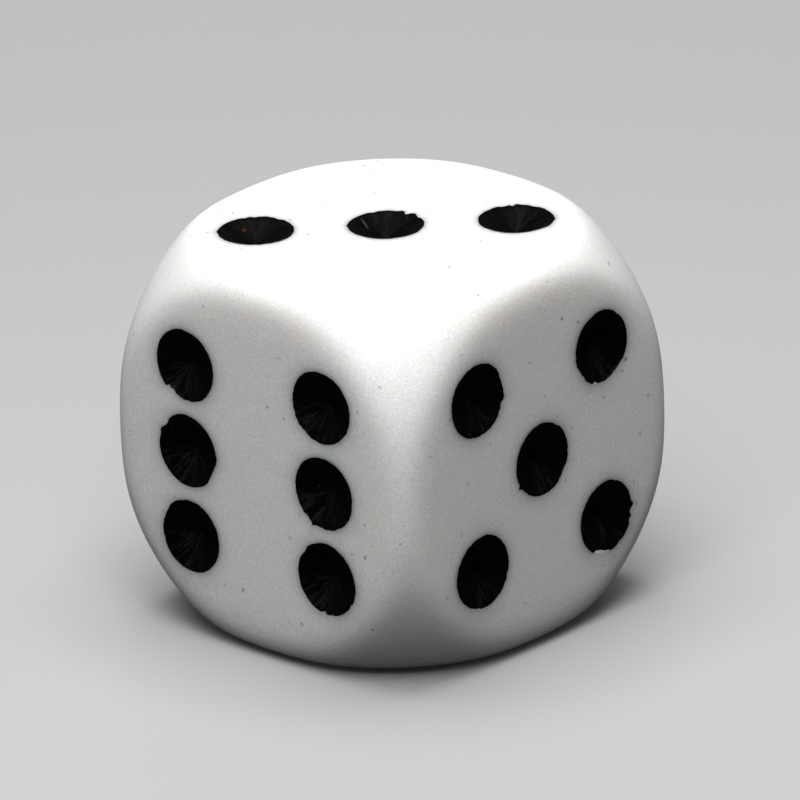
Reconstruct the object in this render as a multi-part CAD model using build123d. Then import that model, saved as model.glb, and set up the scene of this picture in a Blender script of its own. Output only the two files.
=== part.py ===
from build123d import *
import math
import os

# A giant yard die: a solid moulded plastic cube with ball-shaped corners and softly rolled edges.
# Each pip is a shallow drilled cone, and the black enamel in it is a part of its own.
# Millimetres, +Z up, origin at the centre of the cube. Face 3 is up, face 6 looks along -Y and
# face 5 along +X. Opposite faces add up to seven.

# Driving dimensions
EDGE = 88.9                         # across the flats, 3.5 inches
BALL_RADIUS = 0.685 * EDGE          # sphere that trims the eight corners
EDGE_RADIUS = 0.09 * EDGE           # roll between a flat and its neighbours
PIP_SPACING = 0.2273 * EDGE         # centre of a face to its outer pips, along either side
PIP_RADIUS = 0.0963 * EDGE          # mouth of a drilled pip, before its lip is rounded
DRILL_POINT = 132.0                 # included angle of the drill's point, degrees
LIP_RADIUS = 0.008 * EDGE           # round on the lip of each pip
ENAMEL_DEPTH = 0.002 * EDGE         # dried enamel, measured straight down into the pip

HALF = EDGE / 2
CONE_SLOPE = math.radians(90 - DRILL_POINT / 2)
PIP_DEPTH = PIP_RADIUS * math.tan(CONE_SLOPE)
LIP_REACH = LIP_RADIUS * math.tan(CONE_SLOPE / 2)       # from the sharp mouth to where the round ends
ENAMEL_RADIUS = PIP_RADIUS - LIP_REACH                  # edge of the enamel, just below the rounded lip

# Outward normal of each face and the direction to its right, seen from outside
FACES = {
    1: ((0, 1, 0), (-1, 0, 0)),
    2: ((-1, 0, 0), (0, -1, 0)),
    3: ((0, 0, 1), (1, 0, 0)),
    4: ((0, 0, -1), (-1, 0, 0)),
    5: ((1, 0, 0), (0, 1, 0)),
    6: ((0, -1, 0), (1, 0, 0)),
}

# Where a pip can be, in pip spacings right of and above the centre of its face
PLACES = {
    "centre": (0, 0),
    "upper_left": (-1, 1),
    "upper_right": (1, 1),
    "middle_left": (-1, 0),
    "middle_right": (1, 0),
    "lower_left": (-1, -1),
    "lower_right": (1, -1),
}

# The pips of each face
CORNERS = ["upper_left", "upper_right", "lower_left", "lower_right"]
PATTERNS = {
    1: ["centre"],
    2: ["upper_left", "lower_right"],
    3: ["lower_left", "centre", "upper_right"],
    4: CORNERS,
    5: [*CORNERS, "centre"],
    6: [*CORNERS, "middle_left", "middle_right"],
}


def face_plane(number):
    """The plane of a face: its own X runs to the right, and its Z points out of the die."""
    normal, right = FACES[number]
    return Plane(origin=Vector(*normal) * HALF, x_dir=right, z_dir=normal)


def pip_locations():
    """A (face number, place name, location on the surface) for each pip."""
    for number, places in PATTERNS.items():
        for place in places:
            right, up = PLACES[place]
            yield number, place, face_plane(number) * Pos(right * PIP_SPACING, up * PIP_SPACING, 0)


def rolled_cube():
    """A cube trimmed by a sphere, then grown by a rolling ball, which rounds every edge alike."""
    side = EDGE - 2 * EDGE_RADIUS
    core = Box(side, side, side) & Sphere(BALL_RADIUS - EDGE_RADIUS)
    return offset(core, amount=EDGE_RADIUS, kind=Kind.ARC)


def revolve_profile(*points):
    """A solid turned about Z from an outline of (radius, height) points."""
    return revolve(Plane.XZ * make_face(Polyline(*points, close=True)), Axis.Z)


def drill():
    """The space that the drill leaves: a cone below the surface, and clear air above it."""
    air = 1.0
    mouth = PIP_RADIUS + air / math.tan(CONE_SLOPE)
    return revolve_profile((0, -PIP_DEPTH), (mouth, air), (0, air))


def cone_height(radius):
    """How high the drilled cone is at a radius. The face of the die is at zero."""
    return radius * math.tan(CONE_SLOPE) - PIP_DEPTH


def enamel():
    """The coat of enamel on the cone. Near its edge it thins out to nothing."""
    full = ENAMEL_RADIUS - 2 * ENAMEL_DEPTH
    return revolve_profile(
        (0, -PIP_DEPTH),
        (ENAMEL_RADIUS, cone_height(ENAMEL_RADIUS)),
        (full, cone_height(full) + ENAMEL_DEPTH),
        (0, ENAMEL_DEPTH - PIP_DEPTH),
    )


def die_body():
    """The plastic body with its pips drilled and their lips rounded."""
    body = rolled_cube()
    for _, _, location in pip_locations():
        body -= location * drill()
    lips = body.edges().filter_by(GeomType.CIRCLE).filter_by(is_lip)
    return fillet(lips, LIP_RADIUS)


def is_lip(edge):
    """Whether a circular edge is the mouth of a pip."""
    return abs(edge.radius - PIP_RADIUS) < 0.01 * PIP_RADIUS


def main():
    os.makedirs("parts", exist_ok=True)
    export_step(die_body(), "parts/die_body.step")
    for number, place, location in pip_locations():
        export_step(location * enamel(), f"parts/pip_enamel_{number}_{place}.step")


main()
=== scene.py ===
import math
import random

import bmesh
import bpy
import numpy as np
from mathutils import Matrix, Vector
from mathutils.geometry import delaunay_2d_cdt


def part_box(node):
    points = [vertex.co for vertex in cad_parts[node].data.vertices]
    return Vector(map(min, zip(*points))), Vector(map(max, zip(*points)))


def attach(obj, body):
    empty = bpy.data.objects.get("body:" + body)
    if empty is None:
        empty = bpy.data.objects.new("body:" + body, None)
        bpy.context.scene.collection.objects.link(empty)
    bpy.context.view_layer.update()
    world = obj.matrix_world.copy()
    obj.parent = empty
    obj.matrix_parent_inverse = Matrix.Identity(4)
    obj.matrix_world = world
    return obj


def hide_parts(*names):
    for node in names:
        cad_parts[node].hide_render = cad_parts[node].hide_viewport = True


# A giant yard die: a white plastic body with ball-shaped corners, and black enamel in its drilled pips.
# The CAD model gives every place and size. Here each of its solids gets a mesh with the marks of
# making and use: ragged pip mouths, drill chatter under the enamel, dust, scuffs and specks.
# Metres, +Z up, origin at the centre of the cube.

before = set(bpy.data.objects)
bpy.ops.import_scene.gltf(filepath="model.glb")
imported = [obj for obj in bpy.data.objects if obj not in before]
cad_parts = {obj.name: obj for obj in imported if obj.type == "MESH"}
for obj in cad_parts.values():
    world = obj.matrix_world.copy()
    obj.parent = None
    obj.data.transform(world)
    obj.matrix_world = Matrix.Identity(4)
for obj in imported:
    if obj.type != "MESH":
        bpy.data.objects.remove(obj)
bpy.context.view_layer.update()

BODY_NODE = "die_body"
ENAMEL_NODES = sorted(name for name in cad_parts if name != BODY_NODE)

# The body, in the same proportions as the CAD model
BODY_LOW, BODY_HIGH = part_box(BODY_NODE)
EDGE = BODY_HIGH.x - BODY_LOW.x
HALF = EDGE / 2
BALL_RADIUS = 0.69 * EDGE                       # ball that trims the corners
CUBE_POWER = 20                                 # a higher power makes the cube's own edges sharper
BALL_POWER = 40                                 # a higher power makes the ball's edge sharper
CUBE_HALF = HALF / (1 - (HALF / BALL_RADIUS) ** BALL_POWER) ** (1 / BALL_POWER)
FLAT_HALF = 0.36 * EDGE                         # the nearly flat middle of a face, from side to side
FLAT_RADIUS = 0.45 * EDGE                       # and the circle that rounds its corners

# A pip
CONE_SLOPE = math.radians(24)
MOUTH_RADIUS = 0.0963 * EDGE                    # where the sharp cone would meet the face
COLLAR_RADIUS = 0.109 * EDGE                    # where the pip's mesh meets that of the flat
LIP = 0.0017 * EDGE                             # half the width of the rounded lip
ENAMEL_DEPTH = 0.002 * EDGE
ENAMEL_PAST = 0.6                               # of the lip's half width, outwards over its middle
ENAMEL_GAP = 2e-6                               # keeps the two meshes from sharing a surface
NOTCH_DEPTH = 0.0012 * EDGE                     # of a chip that runs outside the drilled cone
PIP_SHADE_REACH = 0.014 * EDGE                       # of the painted shade round a pip's mouth, a dark bluish ring

# The coat of enamel, as shares of its own depth unless said otherwise
COAT_AT_EDGE = 0.12
COAT_RAMP = 4 * ENAMEL_DEPTH                    # inwards from its edge, to where it is full
LOBE_HEIGHT = 0.22
POOL_RADIUS = 0.004 * EDGE                      # of the enamel gathered at the tip
COAT_MOST = 0.7                                 # of the drilled depth: it stays below the face

# How the mouth of every pip wanders: waves round it, and their greatest size as a share of its radius
MOUTH_WAVES = (
    (2, 0.005), (3, 0.007), (4, 0.005), (5, 0.005), (7, 0.005), (9, 0.004),
    (14, 0.004), (19, 0.003), (23, 0.003), (31, 0.003), (37, 0.003), (47, 0.002),
)

# How fine the meshes are
SIDE_STEPS = 64                                 # along each side of a face
ROLL_RINGS = 22                                 # from a flat to the edge of its face
PIP_STEPS = 192                                 # round a pip
FLAT_SPACING = 0.026 * EDGE                     # between the loose points on a flat
DROP_ROUNDS = 12                                # of the search for the surface's height
LIP_RINGS = (3, 1.6, 1, 0.5, 0, -0.5, -1, -1.8)   # outwards from the mouth, in half widths of the lip
CONE_RINGS = (0.85, 0.6, 0.3, 0.06)             # shares of the innermost of those
COAT_RINGS = (                                  # shares of the enamel's edge
    1, 0.985, 0.965, 0.94, 0.9, 0.84, 0.77, 0.69, 0.6, 0.51, 0.42, 0.33, 0.25, 0.18, 0.12, 0.07, 0.03,
)
BACK_RINGS = (1, 0.8, 0.55, 0.3, 0.1)           # the same, on its hidden side


# ---------------------------------------------------------------- meshes

def face_basis(axis, sign):
    """The directions right, up and out of one face, as the columns of a matrix."""
    basis = np.zeros((3, 3))
    basis[(axis + 1) % 3, 0] = sign
    basis[(axis + 2) % 3, 1] = 1
    basis[axis, 2] = sign
    return basis


FACES = {(axis, sign): face_basis(axis, sign) for axis in range(3) for sign in (-1, 1)}


def on_surface(directions):
    """Where rays from the centre leave the body, a cube blended smoothly into a ball."""
    unit = directions / np.linalg.norm(directions, axis=1)[:, None]
    cube = (np.abs(unit) ** CUBE_POWER).sum(axis=1) ** (1 / CUBE_POWER) / CUBE_HALF
    reach = (cube**BALL_POWER + BALL_RADIUS**-BALL_POWER) ** (-1 / BALL_POWER)
    return unit * reach[:, None]


def drop(across):
    """How far the surface has sunk below the face's highest level, at points given across the face."""
    height = np.full(len(across), HALF)
    for _ in range(DROP_ROUNDS):
        points = np.column_stack([across, height])
        height += np.linalg.norm(on_surface(points), axis=1) - np.linalg.norm(points, axis=1)
    return HALF - height


def face_border():
    """Directions round the border of a face, evenly turned, so that neighbouring faces share them."""
    turns = np.linspace(-math.pi / 4, math.pi / 4, SIDE_STEPS, endpoint=False)
    along = np.tan(turns)
    one = np.ones(SIDE_STEPS)
    sides = [(one, along), (-along, one), (-one, -along), (along, -one)]
    return np.concatenate([np.column_stack(side) for side in sides])


def flat_outline(border):
    """The outline of the nearly flat middle of a face: a circle cut short on four sides."""
    length = np.linalg.norm(border, axis=1)
    reach = np.minimum(FLAT_RADIUS, FLAT_HALF * length / np.abs(border).max(axis=1))
    return border / length[:, None] * reach[:, None]


def roll_grid():
    """Rings of points from the flat's outline to the border of the face, in the face's own axes."""
    border = face_border()
    inner = flat_outline(border)
    outer = border * HALF
    height = np.full(len(border), HALF)
    shares = np.linspace(0, 1, ROLL_RINGS + 1)
    rings = [np.column_stack([inner + (outer - inner) * share, height]) for share in shares]
    points = on_surface(np.concatenate(rings))
    points[:len(border), :2] = inner
    points[:len(border), 2] = HALF - drop(inner)
    return points


class Builder:
    """Gathers vertices and faces for one mesh."""

    def __init__(self):
        self.points = []
        self.faces = []
        self.count = 0

    def add(self, points):
        """Adds vertices and returns the number of the first."""
        start = self.count
        self.points.append(np.asarray(points, float))
        self.count += len(points)
        return start

    def rings(self, start, around, rings, flip=False):
        """Quads between closed rings of vertices that follow each other."""
        for ring in range(rings - 1):
            a = start + ring * around
            b = a + around
            for i in range(around):
                j = (i + 1) % around
                quad = (a + i, b + i, b + j, a + j)
                self.faces.append(quad[::-1] if flip else quad)

    def fan(self, start, around, tip, flip=False):
        """Triangles from a ring to one vertex."""
        for i in range(around):
            triangle = (start + i, tip, start + (i + 1) % around)
            self.faces.append(triangle[::-1] if flip else triangle)

    def mesh(self, name, join=0.0):
        """A smooth mesh object. Vertices nearer than join become one."""
        mesh = bpy.data.meshes.new(name)
        mesh.from_pydata(np.concatenate(self.points).tolist(), [], self.faces)
        mesh.update()
        if join:
            merge_near(mesh, join)
        mesh.shade_smooth()
        made = bpy.data.objects.new(name, mesh)
        bpy.context.scene.collection.objects.link(made)
        return made


def merge_near(mesh, distance):
    """Makes one vertex of those that are nearer than the distance."""
    work = bmesh.new()
    work.from_mesh(mesh)
    bmesh.ops.remove_doubles(work, verts=work.verts, dist=distance)
    work.to_mesh(mesh)
    work.free()


# ---------------------------------------------------------------- pips

# Marks on the mouths of single pips, as (angle in degrees, half width in degrees, depth as a share
# of the mouth's radius). A positive depth is plastic that reaches into the pip, a negative one a chip.
MARKS = {
    "pip_enamel_6_upper_left": [(320, 3, 0.10), (329, 7, 0.09), (342, 8, 0.06), (354, 5, 0.03)],
    "pip_enamel_6_middle_left": [(231, 7, 0.06), (247, 4, -0.04), (62, 17, 0.06), (92, 4, -0.02)],
    "pip_enamel_6_lower_left": [(238, 12, 0.03), (286, 4, 0.02)],
    "pip_enamel_6_upper_right": [(289, 3, 0.03), (322, 8, 0.02), (346, 5, 0.02)],
    "pip_enamel_6_middle_right": [(336, 3, -0.07), (322, 6, 0.04), (350, 7, 0.02)],
    "pip_enamel_6_lower_right": [(352, 4, 0.06), (233, 10, 0.04), (10, 5, 0.02)],
    "pip_enamel_5_upper_left": [(350, 5, -0.05), (338, 6, 0.05), (326, 5, 0.03), (18, 15, 0.04)],
    "pip_enamel_5_upper_right": [(254, 4, 0.03), (302, 18, 0.04), (215, 14, 0.04), (48, 5, 0.02)],
    "pip_enamel_5_centre": [(211, 3, -0.09), (322, 14, 0.04), (55, 6, 0.02)],
    "pip_enamel_5_lower_right": [
        (3, 4, -0.06), (352, 5, 0.06), (338, 4, 0.05), (254, 14, 0.05), (300, 9, 0.02),
    ],
    "pip_enamel_5_lower_left": [(340, 5, 0.03), (326, 4, 0.02), (256, 4, 0.02)],
    "pip_enamel_3_lower_left": [
        (96, 5, 0.05), (118, 5, -0.03), (134, 4, 0.05), (150, 4, 0.04), (219, 5, -0.03),
    ],
    "pip_enamel_3_centre": [
        (97, 4, 0.13), (86, 4, -0.05), (108, 4, -0.04), (72, 4, 0.04), (152, 6, 0.04), (222, 5, -0.03),
    ],
    "pip_enamel_3_upper_right": [
        (138, 3, 0.08), (130, 4, -0.04), (152, 6, 0.05), (104, 6, 0.04), (40, 5, -0.02),
    ],
}

# Where the enamel stops short of the mouth and leaves the cone's wall white, in the same terms.
BARE = {
    "pip_enamel_5_upper_right": [(254, 3, 0.03)],
    "pip_enamel_5_lower_right": [(254, 13, 0.05)],
}


# The turn at which painted reflections of the lights show most in the pips of a face, as lighter streaks
# along the drill's marks, the half width of their fan, both in degrees, and their strength
REFLECTION_FANS = {(1, -1): (318, 42, 1.0), (0, 1): (284, 30, 0.6), (2, 1): (132, 120, 0.35)}


def bumps(marks, angles):
    """The sum of marks given as (angle, half width, depth), at each of the angles."""
    total = np.zeros(len(angles))
    for angle, half_width, depth in marks:
        away = np.angle(np.exp(1j * (angles - math.radians(angle))))
        total += depth * np.exp(-np.abs(away / math.radians(half_width)) ** 3)
    return total


class Pip:
    """One drilled pip: where it is and how its mouth wanders off a true circle."""

    def __init__(self, node):
        low, high = (np.array(corner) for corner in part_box(node))
        centre = (low + high) / 2
        axis = int(np.argmin(high - low))
        self.node = node
        self.name = node.replace("pip_", "")
        self.face = (axis, int(math.copysign(1, centre[axis])))
        self.basis = FACES[self.face]
        self.centre = (centre @ self.basis)[:2]
        self.radius = (high - low).max() / 2 - ENAMEL_PAST * LIP
        self.angles = np.arange(PIP_STEPS) * (2 * math.pi / PIP_STEPS)
        self.chance = random.Random(node)
        self.mouth = self.ragged_mouth()

    def ragged_mouth(self):
        """The mouth's radius at each angle."""
        wander = np.zeros(PIP_STEPS)
        for waves, size in MOUTH_WAVES:
            phase = self.chance.uniform(0, 2 * math.pi)
            wander += size * self.chance.uniform(0.3, 1) * np.cos(waves * self.angles + phase)
        return self.radius * (1 + wander - bumps(self.marks(), self.angles))

    def marks(self):
        """The marks on this mouth: those listed, and a few small ones of its own."""
        placed = list(MARKS.get(self.node, []))
        deepest = 0.025 if placed else 0.06
        for _ in range(self.chance.randint(3, 6)):
            angle = self.chance.uniform(0, 360)
            half_width = self.chance.uniform(1.5, 6)
            placed.append((angle, half_width, self.chance.uniform(-0.4, 1) * deepest))
        return placed

    def enamel_edge(self):
        """Where the enamel stops, on the rounded lip."""
        return self.mouth + ENAMEL_PAST * LIP - self.radius * bumps(BARE.get(self.node, []), self.angles)

    def drilled(self, radius):
        """How far below the face the plastic is, at one radius for each angle."""
        cone = np.maximum((MOUTH_RADIUS - radius) * math.tan(CONE_SLOPE), NOTCH_DEPTH)
        into = np.clip((self.mouth + LIP - radius) / (2 * LIP), 0, 1)
        return cone * into * into * (3 - 2 * into)

    def place(self, radii, depths):
        """Points at these radii and depths, in the die's own axes."""
        ring = np.column_stack([np.cos(self.angles), np.sin(self.angles)])
        across = self.centre + radii[:, None] * ring
        return np.column_stack([across, HALF - drop(across) - depths]) @ self.basis.T

    def chance_lobes(self):
        """Chatter of the drill at each angle, from -1 to 1. The same each time it is asked for."""
        chance = random.Random(self.node + " lobes")
        wave = np.zeros(PIP_STEPS)
        for least, most, size in ((5, 8, 0.55), (11, 15, 0.28), (21, 29, 0.12)):
            waves = chance.randint(least, most)
            wave += size * np.cos(waves * self.angles + chance.uniform(0, 2 * math.pi))
        return wave

    def tip(self, depth):
        return np.array([[*self.centre, HALF - depth]]) @ self.basis.T

    def plastic_radii(self):
        """Rings from the collar down to near the tip."""
        rings = [np.full(PIP_STEPS, COLLAR_RADIUS)]
        rings += [self.mouth + LIP * share for share in LIP_RINGS]
        innermost = rings[-1]
        rings += [innermost * share for share in CONE_RINGS]
        return rings


def add_pip_recess(builder, pip):
    """The lip and the cone of a pip in the plastic."""
    rings = pip.plastic_radii()
    points = np.concatenate([pip.place(radii, pip.drilled(radii)) for radii in rings])
    start = builder.add(points)
    builder.rings(start, PIP_STEPS, len(rings), flip=True)
    tip = builder.add(pip.tip(MOUTH_RADIUS * math.tan(CONE_SLOPE)))
    builder.fan(start + (len(rings) - 1) * PIP_STEPS, PIP_STEPS, tip, flip=True)


def add_flat(builder, basis, outline, pips):
    """The flat between its outline and the collars of its pips."""
    loops = [outline]
    for pip in pips:
        ring = np.column_stack([np.cos(pip.angles), np.sin(pip.angles)])
        loops.append(pip.centre + COLLAR_RADIUS * ring)
    edges = []
    first = 0
    for loop in loops:
        count = len(loop)
        edges += [(first + i, first + (i + 1) % count) for i in range(count)]
        first += count
    loose = loose_points(outline, pips)
    coords = [Vector(point) for point in np.concatenate([*loops, loose])]
    points, _, triangles, origins, _, _ = delaunay_2d_cdt(coords, edges, [], 0, 1e-9)
    points = np.array([tuple(point) for point in points])
    for found, origin in enumerate(origins):
        if origin:
            points[found] = coords[origin[0]]
    apothem = COLLAR_RADIUS * math.cos(math.pi / PIP_STEPS)
    start = builder.add(np.column_stack([points, HALF - drop(points)]) @ basis.T)
    for triangle in triangles:
        middle = points[list(triangle)].mean(axis=0)
        if all(np.linalg.norm(middle - pip.centre) > apothem for pip in pips):
            builder.faces.append(tuple(start + i for i in triangle))


def loose_points(outline, pips):
    """A triangular grid of points on a flat, clear of its outline and collars."""
    reach = np.abs(outline).max()
    rows = int(reach / FLAT_SPACING) + 1
    found = []
    for row in range(-rows, rows + 1):
        for column in range(-rows, rows + 1):
            x = (column + 0.5 * (row % 2)) * FLAT_SPACING
            y = row * FLAT_SPACING * math.sqrt(3) / 2
            clear = np.linalg.norm(outline - (x, y), axis=1).min() > FLAT_SPACING / 2
            inside = math.hypot(x, y) < FLAT_RADIUS and max(abs(x), abs(y)) < FLAT_HALF
            off_pips = all(
                np.linalg.norm(pip.centre - (x, y)) > COLLAR_RADIUS + FLAT_SPACING / 3 for pip in pips
            )
            if clear and inside and off_pips:
                found.append((x, y))
    return np.array(found)


def plastic_body(pips):
    """The whole white body as one closed mesh."""
    builder = Builder()
    grid = roll_grid()
    around = 4 * SIDE_STEPS
    for face, basis in FACES.items():
        start = builder.add(grid @ basis.T)
        builder.rings(start, around, ROLL_RINGS + 1)
        own = [pip for pip in pips if pip.face == face]
        add_flat(builder, basis, grid[:around, :2], own)
        for pip in own:
            add_pip_recess(builder, pip)
    made = builder.mesh("plastic_body", join=1e-7)
    store_nearness(made, pips)
    return made


def store_nearness(made, pips):
    """Keeps on each vertex how near it is to a pip: 1 at the mouth, fading to 0 away from it."""
    points = np.array([vertex.co for vertex in made.data.vertices])
    nearness = np.zeros(len(points))
    for pip in pips:
        local = points @ pip.basis
        away = local[:, :2] - pip.centre
        mouth = np.interp(np.arctan2(away[:, 1], away[:, 0]), pip.angles, pip.mouth, period=2 * math.pi)
        beyond = np.maximum(np.linalg.norm(away, axis=1) - mouth, 0)
        here = np.where(local[:, 2] > HALF / 2, np.exp(-beyond / PIP_SHADE_REACH), 0)
        nearness = np.maximum(nearness, here)
    # This nearness masks the painted shade round each pip's mouth in the plastic's colour.
    stored = made.data.attributes.new("near_pip", "FLOAT", "POINT")
    stored.data.foreach_set("value", nearness.astype(np.float32))


def enamel_lining(pip):
    """The coat of enamel in one pip, with the drill's chatter showing through."""
    builder = Builder()
    edge = pip.enamel_edge()
    top = [edge * share for share in COAT_RINGS]
    heights = [pip.drilled(radii) - enamel_height(pip, radii, edge) for radii in top]
    start = builder.add(np.concatenate([pip.place(r, d) for r, d in zip(top, heights)]))
    builder.rings(start, PIP_STEPS, len(top), flip=True)
    tip = builder.add(pip.tip(heights[-1].mean()))
    builder.fan(start + (len(top) - 1) * PIP_STEPS, PIP_STEPS, tip, flip=True)
    bottom = [edge * share for share in BACK_RINGS]
    below = builder.add(np.concatenate([pip.place(r, pip.drilled(r) - ENAMEL_GAP) for r in bottom]))
    builder.rings(below, PIP_STEPS, len(bottom))
    deepest = builder.add(pip.tip(MOUTH_RADIUS * math.tan(CONE_SLOPE) - ENAMEL_GAP))
    builder.fan(below + (len(bottom) - 1) * PIP_STEPS, PIP_STEPS, deepest)
    for i in range(PIP_STEPS):
        j = (i + 1) % PIP_STEPS
        builder.faces.append((start + i, below + i, below + j, start + j))
    made = builder.mesh(pip.name)
    store_polar(made, pip)
    return made


def enamel_height(pip, radii, edge):
    """How far the enamel stands above the plastic: thin at its edge, wavy, and pooled at the tip."""
    inward = np.clip((edge - radii) / COAT_RAMP, 0, 1)
    coat = ENAMEL_DEPTH * (COAT_AT_EDGE + (1 - COAT_AT_EDGE) * inward)
    share = np.clip(radii / edge, 0, 1)
    lobes = pip.chance_lobes() * np.sin(math.pi * share) ** 0.7
    slope = math.tan(CONE_SLOPE)
    filled = np.hypot(radii, POOL_RADIUS) * slope - radii * slope
    standing = coat + lobes * ENAMEL_DEPTH * LOBE_HEIGHT + filled
    return np.minimum(standing, COAT_MOST * pip.drilled(radii))


def store_polar(made, pip):
    """Keeps the place within the pip on each vertex, and how much the painted reflection streaks show
    there.
    """
    points = np.array([vertex.co for vertex in made.data.vertices]) @ pip.basis
    away = points[:, :2] - pip.centre
    radius = np.maximum(np.linalg.norm(away, axis=1), 1e-9)
    polar = np.column_stack([away / radius[:, None], radius / pip.radius])
    stored = made.data.attributes.new("polar", "FLOAT_VECTOR", "POINT")
    stored.data.foreach_set("vector", polar.astype(np.float32).ravel())
    reflection_fan_of_its_own = (pip.chance.uniform(0, 360), 50, 0.8)
    # The fan: where on the pip the painted reflection streaks show most.
    fan = bumps([REFLECTION_FANS.get(pip.face, reflection_fan_of_its_own)], np.arctan2(away[:, 1], away[:, 0]))
    stored = made.data.attributes.new("fan", "FLOAT", "POINT")
    stored.data.foreach_set("value", fan.astype(np.float32))


# ---------------------------------------------------------------- materials

class Nodes:
    """A short way to write a material's nodes."""

    def __init__(self, name):
        self.material = bpy.data.materials.new(name)
        self.material.use_nodes = True
        self.tree = self.material.node_tree
        self.tree.nodes.clear()
        self.output = self.tree.nodes.new("ShaderNodeOutputMaterial")

    def add(self, kind, settings=None, **inputs):
        made = self.tree.nodes.new("ShaderNode" + kind)
        for key, value in (settings or {}).items():
            setattr(made, key, value)
        for key, value in inputs.items():
            self.feed(made, key.replace("_", " "), value)
        return made

    def feed(self, made, key, value):
        socket = made.inputs[int(key)] if key.isdigit() else made.inputs[key]
        if isinstance(value, bpy.types.NodeSocket):
            self.tree.links.new(value, socket)
        elif isinstance(value, bpy.types.Node):
            self.tree.links.new(value.outputs[0], socket)
        else:
            socket.default_value = value

    def math(self, operation, *values):
        made = self.add("Math", {"operation": operation})
        for i, value in enumerate(values):
            self.feed(made, str(i), value)
        return made.outputs[0]

    def mix(self, share, first, second):
        """The first colour where share is 0, and the second where it is 1."""
        made = self.add("Mix", {"data_type": "RGBA"})
        self.feed(made, "0", share)
        self.feed(made, "6", first)
        self.feed(made, "7", second)
        return made.outputs[2]

    def smooth(self, value, start, end, low=0.0, high=1.0):
        """Goes smoothly from low to high as value goes from start to end."""
        made = self.add("MapRange", {"interpolation_type": "SMOOTHSTEP"})
        names = ("Value", "From Min", "From Max", "To Min", "To Max")
        for name, given in zip(names, (value, start, end, low, high)):
            self.feed(made, name, given)
        return made.outputs[0]

    def attribute(self, name):
        """Reads what the mesh keeps under this name."""
        return self.add("Attribute", {"attribute_type": "GEOMETRY", "attribute_name": name})

    def noise(self, vector, size, detail=2.0, roughness=0.5):
        """Noise whose features are about size metres across."""
        made = self.add("TexNoise", Vector=vector, Scale=1 / size, Detail=detail, Roughness=roughness)
        return made.outputs["Fac"]


def colour(red, green, blue):
    return (red, green, blue, 1.0)


def specks(nodes, coords, spacing, radius, softness):
    """Small round marks scattered through space, and two random numbers for each."""
    settings = {"feature": "F1"}
    cells = nodes.add("TexVoronoi", settings, Vector=coords, Scale=1 / spacing, Randomness=1.0)
    reach = radius / spacing
    mark = nodes.smooth(cells.outputs["Distance"], reach * (1 - softness), reach, 1.0, 0.0)
    dice = nodes.add("SeparateColor", Color=cells.outputs["Color"])
    return mark, dice.outputs[0], dice.outputs[1]


# The larger specks and ticks, strewn by chance: how many there are on a face, how far from its middle they
# may lie, their least and greatest length and width in edges, and their least and greatest strength
SPOTS_ON_A_FACE = 5
SPOT_REACH = 0.4
SPOT_LENGTHS = (0.0045, 0.0105)
SPOT_WIDTHS = (0.0034, 0.0062)
SPOT_STRENGTHS = (0.25, 0.8)

# Two marks in the enamel of the face with three pips. Each has its place, length and width in edges, the
# axis that it turns about and the turn in degrees, and its strength.
ORANGE_FLECK = ((-0.282, -0.213, 0.482), 0.0090, 0.0080, 2, 0, 0.8)
LINT = ((-0.065, -0.007, 0.486), 0.0270, 0.0040, 2, -22, 0.9)


def spot(nodes, coords, where, length, width, axis, turn, strength):
    """One oval mark with soft edges."""
    scale = [length * EDGE] * 3
    scale[(axis + 2) % 3] = width * EDGE
    rotation = [0.0, 0.0, 0.0]
    rotation[axis] = math.radians(turn)
    place = [share * EDGE for share in where]
    settings = {"vector_type": "TEXTURE"}
    mapped = nodes.add("Mapping", settings, Vector=coords, Location=place, Rotation=rotation, Scale=scale)
    length_of = nodes.add("VectorMath", {"operation": "LENGTH"})
    nodes.feed(length_of, "0", mapped)
    return nodes.smooth(length_of.outputs["Value"], 0.35, 1.0, strength, 0.0)


def chance_spots(face):
    """The larger specks and ticks of one face, in the terms that spot takes. Most of them are faint."""
    chance = random.Random(f"spots {face}")
    least, greatest = SPOT_STRENGTHS
    for _ in range(SPOTS_ON_A_FACE):
        across = (chance.uniform(-SPOT_REACH, SPOT_REACH), chance.uniform(-SPOT_REACH, SPOT_REACH), 0.5)
        length = chance.uniform(*SPOT_LENGTHS)
        width = min(length, chance.uniform(*SPOT_WIDTHS))
        turn = chance.uniform(0, 180)
        strength = least + (greatest - least) * chance.random() ** 3
        yield FACES[face] @ across, length, width, face[0], turn, strength


# Colours of the plastic, and how strong the painted shade round a pip is at its mouth
PLASTIC_DULL = colour(0.72, 0.73, 0.735)
PLASTIC_BRIGHT = colour(0.91, 0.91, 0.90)
PLASTIC_WARM = colour(0.82, 0.81, 0.785)
FAINT_SPECK = colour(0.28, 0.27, 0.25)
DARK_SPECK = colour(0.10, 0.09, 0.08)
SPOT = colour(0.085, 0.065, 0.065)
# Painted shade: a dark bluish ring round each pip's mouth, standing in for light that the translucent
# plastic loses into the pip.
PIP_RIM_PAINTED_SHADE = colour(0.02, 0.035, 0.05)
PIP_RIM_SHADE_STRENGTH = 0.42


def warped(nodes, coords, size, reach):
    """The coordinates, pushed about by up to half the reach, so that round marks turn ragged."""
    noise = nodes.add("TexNoise", Vector=coords, Scale=1 / size, Detail=1.0)
    shift = nodes.add("VectorMath", {"operation": "SUBTRACT"})
    nodes.feed(shift, "0", noise.outputs["Color"])
    nodes.feed(shift, "1", (0.5, 0.5, 0.5))
    push = nodes.add("VectorMath", {"operation": "SCALE"})
    nodes.feed(push, "0", shift)
    nodes.feed(push, "3", reach)
    bent = nodes.add("VectorMath", {"operation": "ADD"})
    nodes.feed(bent, "0", coords)
    nodes.feed(bent, "1", push)
    return bent.outputs[0]


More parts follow.
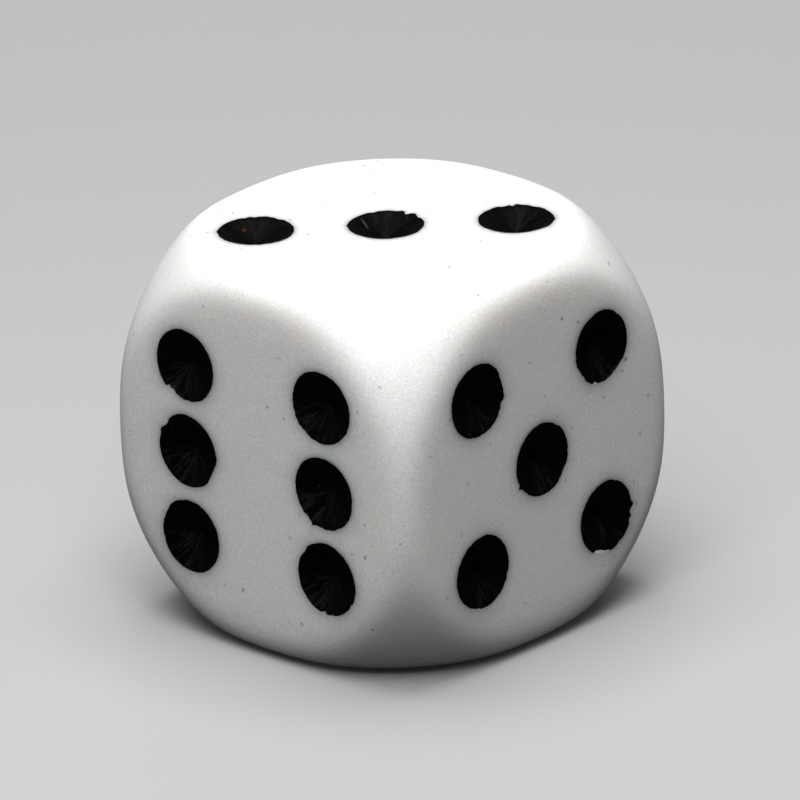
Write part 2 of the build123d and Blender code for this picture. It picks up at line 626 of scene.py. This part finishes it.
def plastic_colour(nodes, place):
    """Off-white with faint mottling, dirt in specks and ticks, and painted shade round the pips."""
    mottle = nodes.smooth(nodes.noise(place, 0.00045, 2.0, 0.6), 0.3, 0.7)
    shade = nodes.mix(mottle, PLASTIC_DULL, PLASTIC_BRIGHT)
    tint = nodes.smooth(nodes.noise(place, 0.0025, 2.0), 0.35, 0.65, 0.0, 0.5)
    shade = nodes.mix(tint, shade, PLASTIC_WARM)

    bent = warped(nodes, place, 0.0007, 0.0008)
    faint, faint_dice, _ = specks(nodes, bent, 0.0046, 0.0006, 0.6)
    faint = nodes.math("MULTIPLY", faint, nodes.smooth(faint_dice, 0.3, 1.0, 0.10, 0.85))
    dark, dark_dice, _ = specks(nodes, bent, 0.015, 0.0007, 0.6)
    dark = nodes.math("MULTIPLY", dark, nodes.smooth(dark_dice, 0.5, 0.95, 0.0, 0.7))
    shade = nodes.mix(faint, shade, FAINT_SPECK)
    shade = nodes.mix(dark, shade, DARK_SPECK)
    for face in FACES:
        for chosen in chance_spots(face):
            shade = nodes.mix(spot(nodes, bent, *chosen), shade, SPOT)

    # Painted shade: the plastic darkens towards each pip's mouth.
    near = nodes.attribute("near_pip").outputs["Fac"]
    return nodes.mix(nodes.math("MULTIPLY", near, PIP_RIM_SHADE_STRENGTH), shade, PIP_RIM_PAINTED_SHADE)


def white_plastic():
    """Moulded plastic, a little translucent, with fine scuffs."""
    nodes = Nodes("white_plastic")
    place = nodes.add("TexCoord").outputs["Object"]
    shade = plastic_colour(nodes, place)

    scratches = nodes.add("Mapping", Vector=place, Rotation=(0.6, 0.9, 0.4), Scale=(1.0, 14.0, 14.0))
    lines = nodes.noise(scratches.outputs[0], 0.006, 4.0, 0.7)
    scuffs = nodes.smooth(lines, 0.62, 0.72)
    grain = nodes.noise(place, 0.0006, 3.0, 0.6)
    swell = nodes.noise(place, 0.009, 1.0)
    worn = nodes.math("MULTIPLY", scuffs, 0.08)
    rough = nodes.math("ADD", nodes.smooth(grain, 0.2, 0.8, 0.33, 0.43), worn)
    soft = nodes.add("Bump", Strength=0.25, Distance=0.0004, Height=swell)
    fine = nodes.add("Bump", Strength=0.12, Distance=0.00005, Height=grain, Normal=soft.outputs[0])
    cut = {"invert": True}
    scored = nodes.add("Bump", cut, Strength=0.2, Distance=0.00003, Height=scuffs, Normal=fine.outputs[0])

    shader = nodes.add("BsdfPrincipled", Base_Color=shade, Roughness=rough, Normal=scored.outputs[0])
    shader.inputs["IOR"].default_value = 1.49
    shader.inputs["Subsurface Weight"].default_value = 1.0
    shader.inputs["Subsurface Radius"].default_value = (1.0, 0.85, 0.75)
    shader.inputs["Subsurface Scale"].default_value = 0.006
    nodes.feed(nodes.output, "Surface", shader)
    return nodes.material


def pip_noise(nodes, place):
    """Noise that runs in streaks from the tip of a pip to its mouth, and differs from pip to pip."""
    polar = nodes.attribute("polar").outputs["Vector"]
    parts = nodes.add("SeparateXYZ", Vector=polar)
    along = nodes.math("MULTIPLY", parts.outputs[2], 0.35)
    around = nodes.add("CombineXYZ", X=parts.outputs[0], Y=parts.outputs[1], Z=along)
    coarse = nodes.add("VectorMath", {"operation": "SNAP"})
    nodes.feed(coarse, "0", place)
    nodes.feed(coarse, "1", (0.02, 0.02, 0.02))
    offset = nodes.add("VectorMath", {"operation": "SCALE"})
    nodes.feed(offset, "0", coarse)
    nodes.feed(offset, "3", 40.0)
    each = nodes.add("VectorMath", {"operation": "ADD"})
    nodes.feed(each, "0", around)
    nodes.feed(each, "1", offset)
    return nodes.noise(each.outputs[0], 0.17, 3.0, 0.6)


# Colours of the enamel, of its painted reflection streaks, and of what is caught in it
ENAMEL_BLACK = colour(0.0002, 0.0002, 0.0002)
ENAMEL_WORN = colour(0.0020, 0.0022, 0.0018)
REFLECTION_STREAK = colour(0.0120, 0.0126, 0.0108)
PALE_DUST = colour(0.06, 0.065, 0.06)
ORANGE_DUST = colour(0.12, 0.05, 0.02)
FLECK_TONE = colour(0.055, 0.017, 0.006)
LINT_TONE = colour(0.045, 0.046, 0.038)


def black_enamel():
    """Black enamel over a drilled cone: dull and ribbed from tip to mouth, with painted reflections of the
    lights as lighter streaks along the ribs, and with caught dust.
    """
    nodes = Nodes("black_enamel")
    place = nodes.add("TexCoord").outputs["Object"]
    streak = pip_noise(nodes, place)
    pits = nodes.noise(place, 0.00045, 3.0, 0.65)
    patch = nodes.smooth(nodes.noise(place, 0.0009, 3.0, 0.7), 0.45, 0.7)
    shade = nodes.mix(patch, ENAMEL_BLACK, ENAMEL_WORN)
    # Painted reflection: lighter streaks from tip to mouth, strongest in the fan of each face's pips that
    # faces the lights.
    fan = nodes.attribute("fan").outputs["Fac"]
    pitted = nodes.smooth(pits, 0.3, 0.7, 0.4, 1.0)
    lines = nodes.math("MULTIPLY", nodes.smooth(streak, 0.44, 0.64), pitted)
    lines = nodes.math("MULTIPLY", lines, nodes.smooth(fan, 0.0, 1.0, 0.12, 1.0))
    shade = nodes.mix(lines, shade, REFLECTION_STREAK)

    dust, dust_dice, dust_hue = specks(nodes, place, 0.0017, 0.00022, 0.8)
    dust = nodes.math("MULTIPLY", dust, nodes.smooth(dust_dice, 0.55, 0.95, 0.0, 0.8))
    dust_tone = nodes.mix(nodes.smooth(dust_hue, 0.9, 0.95), PALE_DUST, ORANGE_DUST)
    shade = nodes.mix(dust, shade, dust_tone)
    shade = nodes.mix(spot(nodes, place, *ORANGE_FLECK), shade, FLECK_TONE)
    shade = nodes.mix(spot(nodes, place, *LINT), shade, LINT_TONE)

    rough = nodes.smooth(streak, 0.3, 0.7, 0.5, 0.38)
    ribs = nodes.add("Bump", Strength=0.4, Distance=0.0001, Height=streak)
    fine = nodes.add("Bump", Strength=0.4, Distance=0.00006, Height=pits, Normal=ribs.outputs[0])
    shader = nodes.add("BsdfPrincipled", Base_Color=shade, Roughness=rough, Normal=fine.outputs[0])
    shader.inputs["IOR"].default_value = 1.5
    shader.inputs["Specular IOR Level"].default_value = 0.03
    nodes.feed(nodes.output, "Surface", shader)
    return nodes.material


STUDIO_WALLS = colour(0.74, 0.74, 0.735)
STUDIO_LIGHT = colour(0.145, 0.145, 0.145)      # what the walls throw on the die
FLOOR_SEEN = colour(0.42, 0.42, 0.416)
FLOOR_THROWS = colour(0.03, 0.03, 0.03)         # the floor's colour for the light that it throws back
BLACK = colour(0, 0, 0)
FLOOR_LIT = 3 * EDGE                            # from the die, to where the lights still reach
FLOOR_UNLIT = 16 * EDGE                         # and where they no longer do
FLOOR_REACH = 200 * EDGE
FLOOR_GAP = 0.0002 * EDGE                       # below the die, so that the two don't share a surface


def pale_floor():
    """The floor shows pale, but throws little light back up, as the die's dark surroundings did.

    Far from the die, where the lights don't reach, it glows as pale as the studio's walls.
    """
    nodes = Nodes("pale_floor")
    seen = nodes.add("LightPath").outputs["Is Camera Ray"]
    away = nodes.add("VectorMath", {"operation": "LENGTH"})
    nodes.feed(away, "0", nodes.add("TexCoord").outputs["Object"])
    near = nodes.smooth(away.outputs["Value"], FLOOR_LIT, FLOOR_UNLIT, 1.0, 0.0)
    pale = nodes.mix(near, BLACK, FLOOR_SEEN)
    shade = nodes.mix(seen, FLOOR_THROWS, pale)
    glow = nodes.math("MULTIPLY", seen, nodes.math("SUBTRACT", 1.0, near))
    shader = nodes.add("BsdfPrincipled", Base_Color=shade, Roughness=0.9, Emission_Strength=glow)
    shader.inputs["Emission Color"].default_value = STUDIO_WALLS
    nodes.feed(nodes.output, "Surface", shader)
    return nodes.material


# ---------------------------------------------------------------- stage, light and camera

def make_floor():
    builder = Builder()
    corners = [(-1, -1), (1, -1), (1, 1), (-1, 1)]
    builder.add([(x * FLOOR_REACH, y * FLOOR_REACH, BODY_LOW.z - FLOOR_GAP) for x, y in corners])
    builder.faces.append((0, 1, 2, 3))
    floor = builder.mesh("floor")
    floor.data.materials.append(pale_floor())


def bearing(azimuth, elevation):
    """The direction from the die towards something. Azimuth 0 is -Y and 90 is +X."""
    turn = math.radians(azimuth)
    rise = math.radians(elevation)
    return Vector((math.sin(turn) * math.cos(rise), -math.cos(turn) * math.cos(rise), math.sin(rise)))


def softbox(name, azimuth, elevation, distance, width, height, brightness):
    """A soft light aimed at the die. A white surface that faces it looks as bright as brightness."""
    lamp = bpy.data.lights.new(name, "AREA")
    lamp.shape = "RECTANGLE"
    lamp.size = width * EDGE
    lamp.size_y = height * EDGE
    lamp.energy = brightness * math.pi**2 * (distance * EDGE) ** 2
    made = bpy.data.objects.new(name, lamp)
    made.location = bearing(azimuth, elevation) * distance * EDGE
    made.rotation_euler = (-made.location).to_track_quat("-Z", "Y").to_euler()
    made.visible_camera = False
    bpy.context.scene.collection.objects.link(made)
    return made


def make_lights():
    """Soft lights round the die, and studio walls that look paler than the light that they give."""
    softbox("overhead", 0, 89, 11, 9, 9, 1.12)
    softbox("key", 34, 55, 11, 7, 5, 0.58)
    softbox("front_fill", 43, 14, 14, 5, 3, 0.025)
    softbox("left_low", -50, 8, 12, 5, 2.4, 0.04)
    softbox("right_low", 138, 12, 12, 5, 2.6, 0.02)
    back = softbox("back_fill", 223, 18, 13, 6, 3, 0.18)
    back.visible_glossy = False
    make_walls()


def make_walls():
    world = bpy.data.worlds.new("studio")
    world.use_nodes = True
    tree = world.node_tree
    walls = tree.nodes["Background"]
    path = tree.nodes.new("ShaderNodeLightPath")
    pick = tree.nodes.new("ShaderNodeMix")
    pick.data_type = "RGBA"
    tree.links.new(path.outputs["Is Camera Ray"], pick.inputs[0])
    pick.inputs[6].default_value = STUDIO_LIGHT
    pick.inputs[7].default_value = STUDIO_WALLS
    tree.links.new(pick.outputs[2], walls.inputs["Color"])
    bpy.context.scene.world = world


# The camera
VIEW_AZIMUTH = 43.03
VIEW_ELEVATION = 22.02
VIEW_ROLL = -1.9
VIEW_DISTANCE = 59.5                            # in edges: far off, so that the view is nearly parallel
FRAME_WIDTH = 1.981                             # edges across the picture, at the die's centre
AIM_RIGHT = 0.0190                              # the middle of the picture, in edges from the centre
AIM_UP = 0.0304
SENSOR = 36.0


def make_camera():
    back = bearing(VIEW_AZIMUTH, VIEW_ELEVATION)
    level = Vector((0, 0, 1)).cross(back).normalized()
    rise = back.cross(level)
    roll = math.radians(VIEW_ROLL)
    right = level * math.cos(roll) + rise * math.sin(roll)
    up = rise * math.cos(roll) - level * math.sin(roll)
    place = (right * AIM_RIGHT + up * AIM_UP + back * VIEW_DISTANCE) * EDGE
    lens = bpy.data.cameras.new("camera")
    lens.sensor_width = SENSOR
    lens.lens = SENSOR * VIEW_DISTANCE / FRAME_WIDTH
    lens.clip_start = EDGE
    lens.clip_end = 1000 * EDGE
    made = bpy.data.objects.new("camera", lens)
    made.matrix_world = Matrix.Translation(place) @ Matrix((right, up, back)).transposed().to_4x4()
    bpy.context.scene.collection.objects.link(made)
    bpy.context.scene.camera = made


def main():
    pips = [Pip(node) for node in ENAMEL_NODES]
    plastic = white_plastic()
    enamel = black_enamel()

    body = plastic_body(pips)
    body.data.materials.append(plastic)
    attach(body, "root")
    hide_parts(BODY_NODE)

    for pip in pips:
        lining = enamel_lining(pip)
        lining.data.materials.append(enamel)
        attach(lining, "root")
        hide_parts(pip.node)

    make_floor()
    make_lights()
    make_camera()
    bpy.context.scene.view_settings.view_transform = "Standard"


main()
